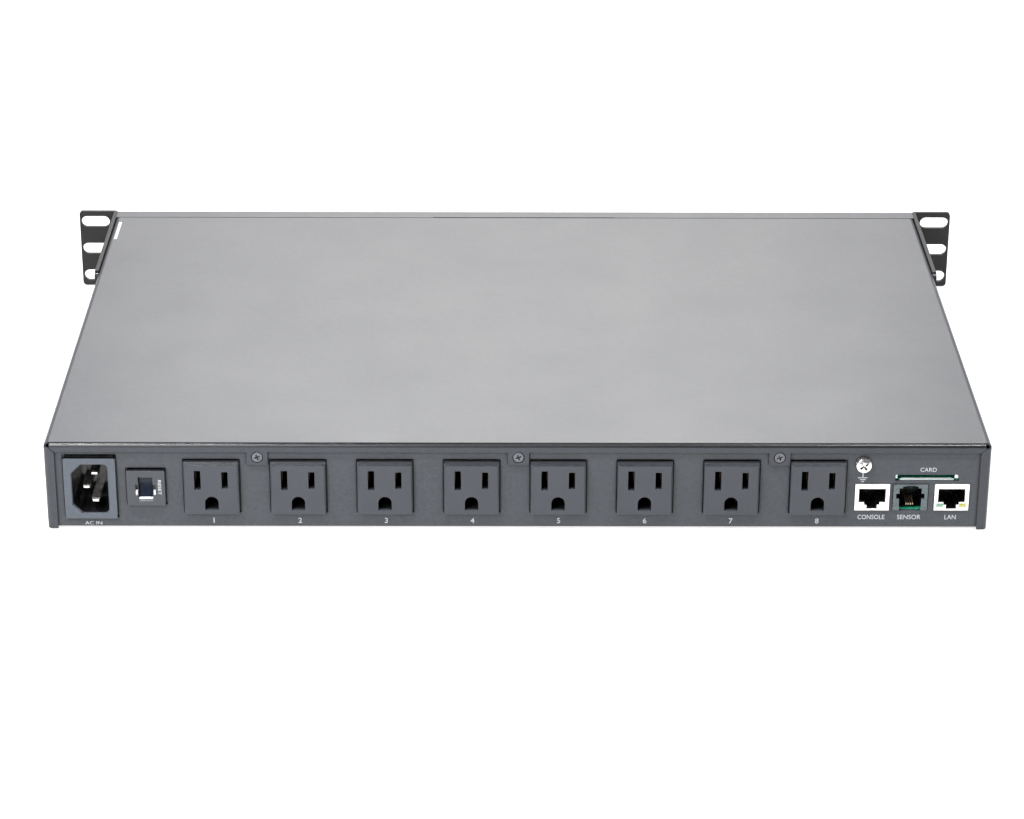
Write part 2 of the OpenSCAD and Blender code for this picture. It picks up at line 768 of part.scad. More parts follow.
module network_chips() {
  color([0.10, 0.10, 0.11]) {
    block([172, 196], [52, 76], [board_top, board_top + 1.6]);
    block([158, 166], [56, 68], [board_top, board_top + 1.2]);
    block([200, 210], [58, 76], [board_top, board_top + 1.2]);
    block([160, 172], [90, 100], [board_top, board_top + 1.2]);
    block([180, 204], [94, 103], [board_top, board_top + 6]);
    for (i = [0 : 3]) bar_z(162 + 9 * i, 118, 3, [board_top, board_top + 8]);
  }
}

// T-shaped mouth of an eight-way jack, latch side down, from the jack's lower middle
module jack_mouth2d() {
  translate([-6.3, 3.9]) square([12.6, 7.2]);
  translate([-3.6, 2.5]) square([7.2, 1.5]);
  translate([-2.45, 0.5]) square([4.9, 2.1]);
}

// Housing of an eight-way jack at x
module jack_shell(x) {
  difference() {
    block([x - jack_w / 2, x + jack_w / 2], [jack_y, jack_y + jack_d], [jack_z, jack_z + jack_h]);
    translate([x, 0, jack_z]) plate_y([jack_y - 1, jack_y + 13]) jack_mouth2d();
  }
}

// Spring wires that slope down from the top of the mouth, or up from its floor where flipped
module jack_wires(x, count, pitch, flip, inset = 3) {
  wire_t = 0.45;
  for (i = [0 : count - 1])
    translate([x + (i - (count - 1) / 2) * pitch, jack_y + inset, jack_z + (flip ? 2.1 : 10.9)])
      mirror([0, 0, flip ? 1 : 0])
        rotate([0, 90, 0]) translate([0, 0, -wire_t / 2]) linear_extrude(height = wire_t)
          polygon([[0, 0], [0, 9], [0.45, 9], [0.45, 0.6], [3.4, 8.2], [3.85, 7.9], [0.5, -0.1]]);
}

module console_jack() {
  color([0.88, 0.87, 0.83]) jack_shell(console_x);
}

module console_contacts() {
  color([0.85, 0.68, 0.30]) jack_wires(console_x, 8, 1.02, false);
}

// The LAN jack has two pockets beside the latch slot for its lights
module lan_jack() {
  color([0.88, 0.87, 0.83])
  difference() {
    jack_shell(lan_x);
    for (s = [-1, 1]) slab([lan_x + s * 5.3, jack_z + 2.7], 3.3, 2, [jack_y - 1, jack_y + 6]);
  }
}

module lan_contacts() {
  color([0.85, 0.68, 0.30]) jack_wires(lan_x, 8, 1.02, false);
}

module lan_light(s) {
  slab([lan_x + s * 5.3, jack_z + 2.7], 3.2, 1.9, [jack_y + 0.2, jack_y + 6]);
}

module lan_link_light() {
  color([0.45, 0.70, 0.55]) lan_light(-1);
}

module lan_activity_light() {
  color([0.80, 0.76, 0.30]) lan_light(1);
}

// Six-way sensor jack with four contacts, latch side up, open below onto the board
module sensor_jack() {
  color([0.15, 0.17, 0.19])
  difference() {
    block([sensor_x - jack_w / 2, sensor_x + jack_w / 2], [jack_y, jack_y + jack_d],
          [jack_z, jack_z + jack_h]);
    translate([sensor_x, 0, jack_z]) plate_y([jack_y - 1, jack_y + 13]) {
      translate([-5.2, 2]) square([10.4, 9.4]);
      translate([-6.6, 5.9]) square([13.2, 2.7]);
      translate([-3.65, 11.3]) square([7.3, 1.1]);
      translate([-2.1, 12.3]) square([4.2, 0.5]);
      translate([-5, -1]) square([10, 3.1]);
    }
  }
}

module sensor_contacts() {
  color([0.85, 0.68, 0.30]) jack_wires(sensor_x, 4, 1.02, true, 2);
}

card_depth = 26;
card_floor = card_z;

module card_board() {
  color([0.05, 0.36, 0.20])
  block([card_x - 18, card_x + 18], [jack_y + 2.6, 42], [card_z - 1.2, card_z]);
}

// Pressed steel shell over the card, open below and in front
module card_socket_shell() {
  t = 0.3;
  w = card_w / 2 + 0.6;
  y = [panel_in + gap, panel_in + card_depth];
  color([0.72, 0.73, 0.74]) {
    block([card_x - w, card_x + w], y, [card_z + card_h + 0.1, card_z + card_h + 0.1 + t]);
    for (s = [-1, 1])
      slab([card_x + s * (w - t / 2), card_z + (card_h + 0.1) / 2], t, card_h + 0.1, y);
    block([card_x - w + t, card_x + w - t], [y[1] - t, y[1]], [card_z, card_z + card_h + 0.1]);
    // hold-down lugs seen at both ends of the slot
    for (s = [[-1, 1.3], [1, 2.1]])
      slab([card_x + s[0] * (w - t - s[1] / 2), card_z + 1.9], s[1], 2, [y[0], y[0] + 2]);
  }
}

// White insulator: a front sill with bevelled ends and a contact comb at the back
module card_socket_body() {
  sill = 12.7;
  y0 = panel_in + gap;
  color([0.86, 0.90, 0.88]) {
    translate([card_x, 0, card_floor]) linear_extrude(height = 0.7)
      polygon([[-sill, y0], [sill, y0], [sill - 2.5, y0 + 2.6], [-sill + 2.5, y0 + 2.6]]);
    block([card_x - 12, card_x + 9], [y0 + 19, y0 + 23], [card_floor, card_floor + 1.2]);
  }
}

module card_contacts() {
  color([0.85, 0.68, 0.30])
  for (i = [0 : 8])
    block([card_x - 11.4 + 2.2 * i, card_x - 10.5 + 2.2 * i],
          [panel_in + gap + 12, panel_in + gap + 19], [card_floor + 0.5, card_floor + 0.9]);
}

// Push-push slider at the right of the card
module card_ejector() {
  y0 = panel_in + 10;
  color([0.20, 0.21, 0.22]) {
    block([card_x + 10.6, card_x + 13.8], [y0, y0 + 10], [card_floor + 0.1, card_floor + 2.4]);
    block([card_x + 9.6, card_x + 10.6], [y0 + 8, y0 + 10], [card_floor + 0.1, card_floor + 2.4]);
  }
}

// ---------------------------------------------------------------- board hardware

// [x, y] of every board screw
board_holes = concat(
  [for (x = [relay_board_x[0] + 5, -1.3, relay_board_x[1] - 5]) for (y = [47, 113]) [x, y]],
  [for (x = [supply_x[0] + 5, supply_x[1] - 5]) [x, supply_y[1] - 5]],
  [for (x = [network_x[0] + 5, network_x[1] - 5]) for (y = [30, network_y[1] - 5]) [x, y]],
  [[supply_x[0] + 5, supply_y[0] + 8]]
);
card_posts = [for (s = [-1, 1]) [card_x + 14.8 * s, 37]];
front_posts = [for (x = [-67.5, 118]) for (z = [9.5, 34.5]) [x, z]];

module board_standoffs() {
  color([0.76, 0.77, 0.79]) {
    for (h = board_holes) translate([h[0], h[1], floor_z]) difference() {
      cylinder(r = 3, h = board_z - floor_z, $fn = 6);
      translate([0, 0, 2.4]) cylinder(r = 1.5, h = 6);
    }
    for (c = card_posts) bar_z(c[0], c[1], 2.5, [board_top, card_z - 1.2]);
    for (f = front_posts) bar_y(f, 2.5, [front_board_y[1], front_y]);
  }
}

// Low domed screw head sitting on z = 0, with its shank below
module board_screw(length) {
  difference() {
    union() {
      intersection() {
        cylinder(r = 2.8, h = 2);
        translate([0, 0, -3.4]) sphere(r = 5.2);
      }
      if (length > 0) translate([0, 0, -length]) cylinder(r = 1.45, h = length + 0.2);
    }
    translate([0, 0, 1.9]) cross_recess(3, 1.1);
  }
}

module board_screws() {
  color([0.76, 0.77, 0.79]) {
    for (h = board_holes) translate([h[0], h[1], board_top]) board_screw(5);
    for (c = card_posts) translate([c[0], c[1], card_z]) board_screw(0);
    for (f = front_posts) translate([f[0], front_board_y[0], f[1]]) rotate([90, 0, 0]) board_screw(0);
  }
}

// ---------------------------------------------------------------- chassis ground

module ground_washer() {
  color([0.80, 0.80, 0.80])
  translate([ground_at[0], panel_y, ground_at[1]]) rotate([90, 0, 0]) difference() {
    cylinder(r = 3.6, h = 0.6);
    translate([0, 0, -1]) cylinder(r = 2.1, h = 3);
    // locking teeth cut from the rim
    for (a = [0 : 30 : 330]) rotate([0, 0, a]) translate([3.3, -0.3, -1]) cube([1, 0.6, 3]);
  }
}

module ground_screw() {
  head = 2.6;
  color([0.85, 0.85, 0.84])
  translate([ground_at[0], panel_y - 0.6, ground_at[1]]) rotate([90, 0, 0]) difference() {
    union() {
      intersection() {
        cylinder(r = 3.5, h = head);
        translate([0, 0, -3.5]) sphere(r = head + 3.8, $fn = 96);
      }
      translate([0, 0, -8]) cylinder(r = 1.95, h = 8.5);
    }
    translate([0, 0, head]) rotate([0, 0, 35]) cross_recess(4.4, 1.5);
  }
}

// ---------------------------------------------------------------- front controls

front_board_y = [front_y - 10, front_y - 8.4];

// Board behind the front panel, with the select button's switch
module front_board() {
  color([0.05, 0.33, 0.18]) {
    block([-71, 122], front_board_y, [6, 38]);
    slab([select_x, light_z], 6, 6, [front_board_y[1], front_board_y[1] + 3.4]);
  }
}

// Smoked window: a raised lens in the cut-out, with a rim behind the panel
module display_window() {
  color([0.10, 0.04, 0.05]) {
    block([window_x[0] + gap, window_x[1] - gap], [front_y, body_d + 0.6],
          [window_z[0] + gap, window_z[1] - gap]);
    block([window_x[0] - 2, window_x[1] + 2], [front_y - 1.2, front_y], [window_z[0] - 2, window_z[1] + 2]);
  }
}

// Three-digit display block: the face carries the seven bars of each digit as raised lands
module display_module() {
  y1 = front_y - 1.8;
  digit_h = 12;
  digit_w = 7;
  bar_t = 1.3;
  module digit(x) {
    for (z = [-1, 0, 1]) slab([x, light_z + z * digit_h / 2], digit_w - 2 * bar_t, bar_t, [y1, y1 + 0.3]);
    for (s = [-1, 1]) for (z = [-1, 1])
      slab([x + s * digit_w / 2, light_z + z * digit_h / 4], bar_t, digit_h / 2 - bar_t, [y1, y1 + 0.3]);
  }
  color([0.30, 0.30, 0.31]) {
    slab([(window_x[0] + window_x[1]) / 2, light_z], 40, 18, [front_board_y[1], y1]);
    for (i = [-1 : 1]) digit((window_x[0] + window_x[1]) / 2 + 12.6 * i);
  }
}

module select_button() {
  color([0.30, 0.31, 0.33]) {
    plate_y([front_y - 1, body_d + select_proud]) translate([select_x, light_z]) round_rect(8.3, 6.3, 1);
    slab([select_x, light_z], 10.6, 8.6, [front_y - gap - 1.2, front_y - gap]);
    slab([select_x, light_z], 3, 3, [front_board_y[1] + 3.5 + select_travel, front_y - gap - 1]);
  }
}

module status_light_pipes() {
  color([0.80, 0.85, 0.80])
  for (lx = lights) translate([lx, 0, light_z]) rotate([-90, 0, 0]) {
    translate([0, 0, front_board_y[1]]) cylinder(r = 1.55, h = body_d - front_board_y[1]);
    translate([0, 0, body_d]) intersection() {
      cylinder(r = 1.55, h = 0.6);
      translate([0, 0, -1.85]) sphere(r = 2.42);
    }
  }
}

// Flat cable from the network board to the front board
module ribbon_cable() {
  z = board_top + 6;
  color([0.55, 0.56, 0.58])
  sweep([[-6, -0.4], [6, -0.4], [6, 0.4], [-6, 0.4]], concat(
    curve([[192, 98.5, z], [192, 98.5, z + 14], [192, 130, z + 16], [176, 170, z + 14]], 10),
    curve([[175, 172, z + 14], [150, 235, z + 10], [110, 240, 24], [110, front_board_y[0], 24]], 12)
  ), [0, 0.05, 1]);
}

// ---------------------------------------------------------------- assembly

in_frame() top_cover();
in_frame() chassis_tray();
in_frame() front_panel();
in_frame() left_bracket();
in_frame() right_bracket();
in_frame() bracket_screws();
in_frame() bracket_clinch_nuts();
in_frame() rear_cover_screws();
in_frame() panel_clinch_nuts();
in_frame() inlet_housing();
in_frame() inlet_pins();
in_frame() breaker_housing();
in_frame() breaker_button();
in_frame() breaker_terminals();
for (i = [1 : 8])
  in_frame() outlet(outlets[i - 1]);
in_frame() outlet_line_contacts();
in_frame() outlet_neutral_contacts();
in_frame() outlet_earth_contacts();
in_frame() outlet_housings();
in_frame() bus_bars();
in_frame() outlet_line_wires();
in_frame() inlet_wires();
in_frame() current_sensor();
in_frame() relay_board();
in_frame() outlet_relays();
in_frame() supply_board();
in_frame() supply_transformer();
in_frame() supply_capacitors();
in_frame() network_board();
in_frame() network_chips();
in_frame() console_jack();
in_frame() console_contacts();
in_frame() sensor_jack();
in_frame() sensor_contacts();
in_frame() lan_jack();
in_frame() lan_contacts();
in_frame() lan_link_light();
in_frame() lan_activity_light();
in_frame() card_board();
in_frame() card_socket_shell();
in_frame() card_socket_body();
in_frame() card_contacts();
in_frame() card_ejector();
in_frame() board_standoffs();
in_frame() board_screws();
in_frame() ground_screw();
in_frame() ground_washer();
in_frame() front_board();
in_frame() display_window();
in_frame() display_module();
in_frame() select_button();
in_frame() status_light_pipes();
in_frame() ribbon_cable();
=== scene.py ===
"""Looks of the rack power strip: materials, printed marks, lights, floor and camera."""
import math

import bmesh
import bpy
from mathutils import Matrix, Vector


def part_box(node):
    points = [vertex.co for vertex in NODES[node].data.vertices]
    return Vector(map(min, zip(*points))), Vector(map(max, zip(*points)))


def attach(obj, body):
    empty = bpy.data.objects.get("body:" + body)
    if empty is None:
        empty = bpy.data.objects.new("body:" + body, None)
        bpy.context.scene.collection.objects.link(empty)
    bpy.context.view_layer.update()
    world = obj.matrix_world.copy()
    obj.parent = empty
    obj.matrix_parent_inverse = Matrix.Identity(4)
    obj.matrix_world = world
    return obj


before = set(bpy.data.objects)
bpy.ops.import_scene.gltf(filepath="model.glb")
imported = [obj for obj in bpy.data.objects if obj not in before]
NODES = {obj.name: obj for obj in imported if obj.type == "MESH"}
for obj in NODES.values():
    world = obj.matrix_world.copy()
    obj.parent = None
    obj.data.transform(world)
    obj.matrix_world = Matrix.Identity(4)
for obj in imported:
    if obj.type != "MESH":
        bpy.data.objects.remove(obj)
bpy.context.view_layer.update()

MM = 0.001
OUTLETS = range(1, 9)


def box_middle_x(node):
    low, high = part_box(node)
    return (low.x + high.x) / 2


def face_y(node):
    """The plane of a node's outermost face on the outlet side."""
    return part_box(node)[0].y


# The enclosure's planes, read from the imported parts
LIP_Y = face_y("top_cover")                  # outer face of the cover's rear lip
TOP_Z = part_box("top_cover")[1].z
PANEL_Y = face_y("chassis_tray")             # outer face of the rear panel
FRONT_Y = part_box("front_panel")[1].y         # outer face of the front panel


def at(x, y, z):
    """Millimetres from the middle of the unit, from the rear lip's face and from the underside."""
    return Vector((x * MM, LIP_Y + y * MM, z * MM))


# ---------------------------------------------------------------- materials

RAYS = 6                                     # rays of each bevel and occlusion lookup


class Shader:
    """A node tree around one Principled shader, in object space, in metres."""

    def __init__(self, name, **values):
        self.mat = bpy.data.materials.new(name)
        self.mat.use_nodes = True
        self.tree = self.mat.node_tree
        self.bsdf = self.tree.nodes["Principled BSDF"]
        self.coord = self.node("ShaderNodeTexCoord").outputs["Object"]
        for socket, value in values.items():
            self.bsdf.inputs[socket.replace("_", " ")].default_value = value

    def node(self, kind, **settings):
        made = self.tree.nodes.new(kind)
        for key, value in settings.items():
            setattr(made, key, value)
        return made

    def link(self, a, b):
        self.tree.links.new(a, b)

    def put(self, node, **values):
        """Sets a node's sockets, by name or as i and their number: a number or colour stays on the
        socket, an output is linked."""
        for key, value in values.items():
            numbered = key[0] == "i" and key[1:].isdigit()
            socket = node.inputs[int(key[1:]) if numbered else key]
            if isinstance(value, bpy.types.NodeSocket):
                self.link(value, socket)
            else:
                socket.default_value = value
        return node

    def noise(self, per_mm, detail=3, rough=0.55, stretch=None):
        """Noise from 0 to 1 with about per_mm blobs to the millimetre."""
        coord = self.coord
        if stretch:
            mapping = self.put(self.node("ShaderNodeMapping"), Vector=coord, Scale=stretch)
            coord = mapping.outputs[0]
        made = self.put(self.node("ShaderNodeTexNoise"), Vector=coord, Scale=per_mm / MM,
                        Detail=detail, Roughness=rough)
        return made.outputs["Fac"]

    def voronoi(self, per_mm, feature="F1"):
        made = self.put(self.node("ShaderNodeTexVoronoi", feature=feature), Vector=self.coord,
                        Scale=per_mm / MM)
        return made.outputs["Distance"]

    def remap(self, value, low, high, to_low, to_high):
        """Maps low..high to to_low..to_high, held at both ends."""
        ends = {"From Min": low, "From Max": high, "To Min": to_low, "To Max": to_high}
        return self.put(self.node("ShaderNodeMapRange"), Value=value, **ends).outputs[0]

    def maths(self, operation, a, b=0.0):
        return self.put(self.node("ShaderNodeMath", operation=operation), i0=a, i1=b).outputs[0]

    def mix(self, fac, a, b):
        made = self.node("ShaderNodeMix", data_type="RGBA")
        return self.put(made, i0=fac, i6=a, i7=b).outputs[2]

    def edges(self, radius_mm):
        """1 along outside and inside edges, 0 on flats."""
        bevel = self.put(self.node("ShaderNodeBevel", samples=RAYS), Radius=radius_mm * MM)
        geometry = self.node("ShaderNodeNewGeometry")
        dot = self.put(self.node("ShaderNodeVectorMath", operation="DOT_PRODUCT"),
                       i0=bevel.outputs[0], i1=geometry.outputs["Normal"])
        return self.remap(dot.outputs["Value"], 0.97, 0.80, 0.0, 1.0)

    def hollows(self, reach_mm, darkest):
        """A factor for painted shade: 1 in the open, falling to darkest in gaps, recesses and corners.
        """
        occlusion = self.put(self.node("ShaderNodeAmbientOcclusion", samples=RAYS),
                             Distance=reach_mm * MM)
        return self.remap(occlusion.outputs["AO"], 0.30, 0.88, darkest, 1.0)

    def beyond(self, y, soft_mm=0.15):
        """0 on the outlet side of the plane y, 1 deeper in."""
        along = self.put(self.node("ShaderNodeSeparateXYZ"), Vector=self.coord).outputs["Y"]
        return self.remap(along, y - soft_mm * MM, y + soft_mm * MM, 0.0, 1.0)

    def rear_folds(self):
        """1 on folds that turn from a top towards -Y, 0 on flats; and 1 on their upper half alone."""
        normal = self.put(self.node("ShaderNodeSeparateXYZ"),
                          Vector=self.node("ShaderNodeNewGeometry").outputs["Normal"])
        up, out = normal.outputs["Z"], normal.outputs["Y"]
        turned_up = self.remap(up, 0.16, 0.34, 0, 1)
        not_flat = self.remap(up, 0.965, 0.999, 1, 0)
        facing_out = self.remap(out, -0.15, -0.05, 1, 0)
        fold = self.maths("MULTIPLY", self.maths("MULTIPLY", turned_up, not_flat), facing_out)
        return fold, self.maths("MULTIPLY", fold, self.remap(up, 0.62, 0.72, 0, 1))

    def dimmed(self, color, factor):
        """The colour times a factor that varies over the surface."""
        grey = self.put(self.node("ShaderNodeCombineColor"), Red=factor, Green=factor, Blue=factor)
        made = self.node("ShaderNodeMix", data_type="RGBA", blend_type="MULTIPLY")
        return self.put(made, i0=1.0, i6=color, i7=grey.outputs[0]).outputs[2]

    def surface(self, color, rough, height=None, depth_mm=0.02, strength=0.5, round_mm=0.0):
        """Finishes the material: relief from height, and edges shaded as if rounded to round_mm."""
        self.put(self.bsdf, **{"Base Color": color, "Roughness": rough})
        if height is None:
            return self.mat
        bump = self.put(self.node("ShaderNodeBump"), Height=height, Distance=depth_mm * MM,
                        Strength=strength)
        if round_mm:
            rounded = self.node("ShaderNodeBevel", samples=RAYS)
            self.put(bump, Normal=self.put(rounded, Radius=round_mm * MM).outputs[0])
        self.put(self.bsdf, Normal=bump.outputs[0])
        return self.mat


def scaled(color, k):
    """A colour k times as bright."""
    return (color[0] * k, color[1] * k, color[2] * k, 1)


def powder_coat(name, color, rough=0.36, spec=0.5):
    """Baked powder coat: fine orange peel, faint clouds, smudges and grain, edges lighter in patches
    (rubbed paint and a painted edge highlight), dull seams with painted shade, and rear folds with
    painted shade, with a glossy upper half."""
    seam_shade, seam_rough = 0.12, 0.45
    fold_shade, fold_rough = 0.22, 0.17
    s = Shader(name, Metallic=0.0, Specular_IOR_Level=spec)
    clouds = s.remap(s.noise(0.012, 2), 0.35, 0.65, 0, 1)
    mottle = s.remap(s.noise(0.42, 4, 0.7), 0.38, 0.66, 0, 0.9)
    speck = s.noise(1.7, 3, 0.7)
    tone = s.mix(clouds, scaled(color, 0.93), scaled(color, 1.07))
    tone = s.mix(mottle, tone, scaled(color, 1.42))
    tone = s.mix(s.remap(speck, 0.42, 0.70, 0, 0.8), tone, scaled(color, 1.75))
    # Edges lighter in patches: partly rubbed paint, partly a painted edge highlight
    rub_and_glint = s.remap(s.noise(0.25, 4), 0.45, 0.62, 0, 0.4)
    tone = s.mix(s.maths("MULTIPLY", s.edges(0.35), rub_and_glint), tone, scaled(color, 2.6))
    # Painted shade: the colour darkened in seams, gaps and corners, where the coat is also made
    # rougher
    seam_shade_factor = s.hollows(2.2, seam_shade)
    tone = s.dimmed(tone, seam_shade_factor)
    # Painted shade on folds that turn from the top towards -Y; their upper half is made glossier
    fold, upper_fold = s.rear_folds()
    tone = s.dimmed(tone, s.remap(fold, 0, 1, 1.0, fold_shade))
    roughness = s.remap(speck, 0.3, 0.7, rough - 0.04, rough + 0.06)
    smudges = s.remap(s.noise(0.022, 5, 0.62), 0.35, 0.65, -0.012, 0.014)
    roughness = s.maths("ADD", roughness, smudges)
    roughness = s.maths("ADD", roughness, s.remap(seam_shade_factor, seam_shade, 1.0, seam_rough, 0.0))
    polish = s.remap(upper_fold, 0, 1, 0.0, rough - fold_rough)
    roughness = s.maths("SUBTRACT", roughness, polish)
    peel, grain = s.noise(0.9, 2, 0.5), s.noise(3.4, 2, 0.6)
    height = s.maths("ADD", peel, s.maths("MULTIPLY", grain, 0.5))
    return s.surface(tone, roughness, height, 0.04, 0.5, 0.18)


def moulded(name, color, rough=0.42, grain=1.6, depth=0.02, spec=0.5, coat=0.0, behind=None,
            crevice_shade=0.2, bevel=1.0):
    """Moulded plastic with a spark-eroded texture, slight sink clouds, softened edges and painted
    shade in recesses; behind is (plane y, colour, roughness) of a darker, smoother inside, and bevel
    dims the upper bevels as painted shade."""
    bevel_rough = 0.2
    s = Shader(name, Metallic=0.0, Specular_IOR_Level=spec)
    if coat:
        s.put(s.bsdf, **{"Coat Weight": coat, "Coat Roughness": 0.12})
    clouds = s.remap(s.noise(0.06, 3), 0.35, 0.65, 0, 1)
    speck = s.noise(grain, 3, 0.7)
    tone = s.mix(clouds, scaled(color, 0.94), scaled(color, 1.06))
    tone = s.mix(s.remap(speck, 0.42, 0.72, 0, 0.6), tone, scaled(color, 1.5))
    # Painted shade: the colour darkened in gaps and recesses
    tone = s.dimmed(tone, s.hollows(1.6, crevice_shade))
    roughness = s.remap(speck, 0.3, 0.7, rough - 0.06, rough + 0.06)
    # Painted shade on the upper bevels, which are also made glossier
    if bevel < 1:
        fold = s.rear_folds()[0]
        tone = s.dimmed(tone, s.remap(fold, 0, 1, 1.0, bevel))
        polish = s.remap(fold, 0, 1, 0.0, rough - bevel_rough)
        roughness = s.maths("SUBTRACT", roughness, polish)
    if behind:
        y, inner, smooth = behind
        inside = s.beyond(y)
        tone = s.mix(inside, tone, inner)
        outer_rough = s.maths("MULTIPLY", roughness, s.maths("SUBTRACT", 1.0, inside))
        inner_rough = s.maths("MULTIPLY", s.maths("MULTIPLY", speck, smooth * 2), inside)
        roughness = s.maths("ADD", outer_rough, inner_rough)
    return s.surface(tone, roughness, speck, depth, 0.5, 0.15)


def plated(name, color, rough=0.22, brushed=(1, 1, 1), crevice_shade=0.25):
    """Plated or bare metal with fine drawing marks, faint tarnish and painted shade in its recesses.
    """
    s = Shader(name, Metallic=1.0)
    marks = s.noise(1.2, 4, 0.6, brushed)
    tarnish = s.remap(s.noise(0.35, 3), 0.42, 0.68, 0, 1)
    tone = s.mix(s.maths("MULTIPLY", tarnish, 0.5), color, scaled(color, 0.72))
    # Painted shade: the colour darkened in recesses
    tone = s.dimmed(tone, s.hollows(1.2, crevice_shade))
    roughness = s.remap(marks, 0.3, 0.7, rough * 0.7, rough * 1.5)
    return s.surface(tone, roughness, marks, 0.01, 0.35, 0.08)


def circuit_board(name, color, dark_from=None):
    """Solder mask over copper: a faint track relief, gloss, darker between the tracks, and black
    in the shade beyond the plane y = dark_from."""
    s = Shader(name, Metallic=0.0, Specular_IOR_Level=0.55)
    tracks = s.remap(s.voronoi(0.35, "DISTANCE_TO_EDGE"), 0.04, 0.09, 0, 1)
    tone = s.mix(tracks, scaled(color, 1.5), color)
    tone = s.mix(s.remap(s.noise(0.1, 2), 0.4, 0.6, 0, 0.3), tone, scaled(color, 0.75))
    if dark_from:
        tone = s.mix(s.beyond(dark_from, 0.6), tone, BLACK)
    roughness = s.remap(s.noise(0.8, 2), 0.3, 0.7, 0.22, 0.36)
    return s.surface(tone, roughness, tracks, 0.03, 0.3)


def lens(name, color, through=0.35):
    """Tinted translucent plastic that glows a little where light soaks in."""
    s = Shader(name, Metallic=0.0, Specular_IOR_Level=0.5, Transmission_Weight=through,
               Subsurface_Weight=0.25, Subsurface_Radius=(0.8 * MM, 0.8 * MM, 0.6 * MM))
    cells = s.noise(1.4, 2)
    tone = s.mix(s.remap(cells, 0.35, 0.65, 0, 1), scaled(color, 0.85), scaled(color, 1.15))
    return s.surface(tone, s.remap(cells, 0.3, 0.7, 0.22, 0.36), cells, 0.015, 0.4, 0.12)


def ink(name, color):
    """Screen-printed ink: slightly uneven coverage, flat sheen."""
    s = Shader(name, Metallic=0.0, Specular_IOR_Level=0.35)
    cover = s.noise(3.0, 3)
    tone = s.mix(s.remap(cover, 0.3, 0.7, 0, 1), scaled(color, 0.88), color)
    return s.surface(tone, s.remap(cover, 0.3, 0.7, 0.45, 0.6), cover, 0.006, 0.4)


BLACK = (0.004, 0.004, 0.005, 1)
COAT = powder_coat("powder_coat_charcoal", (0.029, 0.033, 0.0395, 1), rough=0.40)
# A darker copy of the charcoal coat for the cover: painted shade, mainly for its rear lip
COVER_COAT_SHADED = powder_coat("powder_coat_cover_shaded", (0.0215, 0.0245, 0.031, 1))
BRACKET_COAT = powder_coat("powder_coat_bracket", (0.007, 0.007, 0.008, 1), rough=0.52, spec=0.42)
# Painted shade: dimmed upper bevels, and dark deeper than 1.6 mm in, where the gap round each outlet
# lies in shade
OUTLET_NYLON = moulded("outlet_nylon", (0.033, 0.037, 0.046, 1), bevel=0.45,
                       behind=(face_y("outlet_1") + 1.6 * MM, (0.020, 0.020, 0.023, 1), 0.4))
HOUSING_NYLON = moulded("housing_nylon", (0.010, 0.010, 0.012, 1), rough=0.5)
# Painted shade: black deeper than 0.6 mm inside the face, in the mouth
INLET_NYLON = moulded("inlet_nylon", (0.062, 0.073, 0.090, 1), rough=0.36, grain=1.2,
                      behind=(face_y("inlet_housing") + 0.6 * MM, BLACK, 0.10))
# Painted shade: near black deeper than 0.6 mm, the dark outline of the pocket round the button
BREAKER_NYLON = moulded("breaker_nylon", (0.036, 0.040, 0.047, 1),
                        behind=(face_y("breaker_housing") + 0.6 * MM, (0.008, 0.008, 0.010, 1), 0.3))
BUTTON_GLOSS = moulded("button_gloss", (0.010, 0.014, 0.026, 1), rough=0.16, grain=0.5,
                       depth=0.004, spec=0.3)
# Pale plastic for painted highlights: glints on the reset button
PAINTED_GLINTS = moulded("reset_trim", (0.55, 0.57, 0.60, 1), rough=0.2, grain=0.8, depth=0.004, crevice_shade=1.0)
IVORY = moulded("jack_ivory", (0.93, 0.92, 0.89, 1), rough=0.32, grain=0.9, depth=0.008, crevice_shade=0.8,
                behind=(face_y("console_jack") + 0.9 * MM, BLACK, 0.25))
JACK_GREY = moulded("jack_grey", (0.078, 0.098, 0.106, 1), rough=0.30, grain=0.9, depth=0.008,
                    behind=(face_y("sensor_jack") + 0.9 * MM, BLACK, 0.2))
INSULATOR = moulded("card_insulator", (0.88, 0.96, 0.94, 1), rough=0.35, depth=0.008, crevice_shade=1.0,
                    behind=(face_y("card_socket_body") + 1.3 * MM, (0.016, 0.200, 0.115, 1), 0.4))
EJECTOR = moulded("ejector_black", (0.02, 0.02, 0.022, 1), rough=0.4)
SMOKED = moulded("smoked_acrylic", (0.010, 0.004, 0.005, 1), rough=0.08, grain=0.3, depth=0.003,
                 coat=0.8)
DISPLAY = moulded("display_grey", (0.05, 0.05, 0.052, 1), rough=0.5)
SELECT = moulded("select_cap", (0.11, 0.115, 0.12, 1), rough=0.55)
JACKET = moulded("wire_jacket", (0.02, 0.02, 0.022, 1), rough=0.5)
RELAY = moulded("relay_case", (0.02, 0.05, 0.20, 1), rough=0.35)
TAPE = moulded("transformer_tape", (0.55, 0.38, 0.08, 1), rough=0.4)
SLEEVE = moulded("capacitor_sleeve", (0.02, 0.022, 0.08, 1), rough=0.25)
CHIP = moulded("chip_epoxy", (0.018, 0.018, 0.02, 1), rough=0.6)
RIBBON = moulded("ribbon_jacket", (0.30, 0.31, 0.33, 1), rough=0.5)
BOARD = circuit_board("solder_mask", (0.008, 0.105, 0.050, 1))
JACK_BOARD = circuit_board("solder_mask_jacks", (0.020, 0.260, 0.150, 1),
                           dark_from=face_y("sensor_jack") + 4.8 * MM)
CARD_BOARD = circuit_board("solder_mask_card", (0.020, 0.300, 0.170, 1))
NICKEL = plated("bright_nickel", (0.95, 0.94, 0.92, 1), rough=0.26, crevice_shade=0.05)
ZINC = plated("zinc_plate", (0.72, 0.73, 0.76, 1), rough=0.3)
SPRING = plated("tinned_steel", (0.76, 0.77, 0.78, 1), rough=0.28, brushed=(0.2, 1, 1))
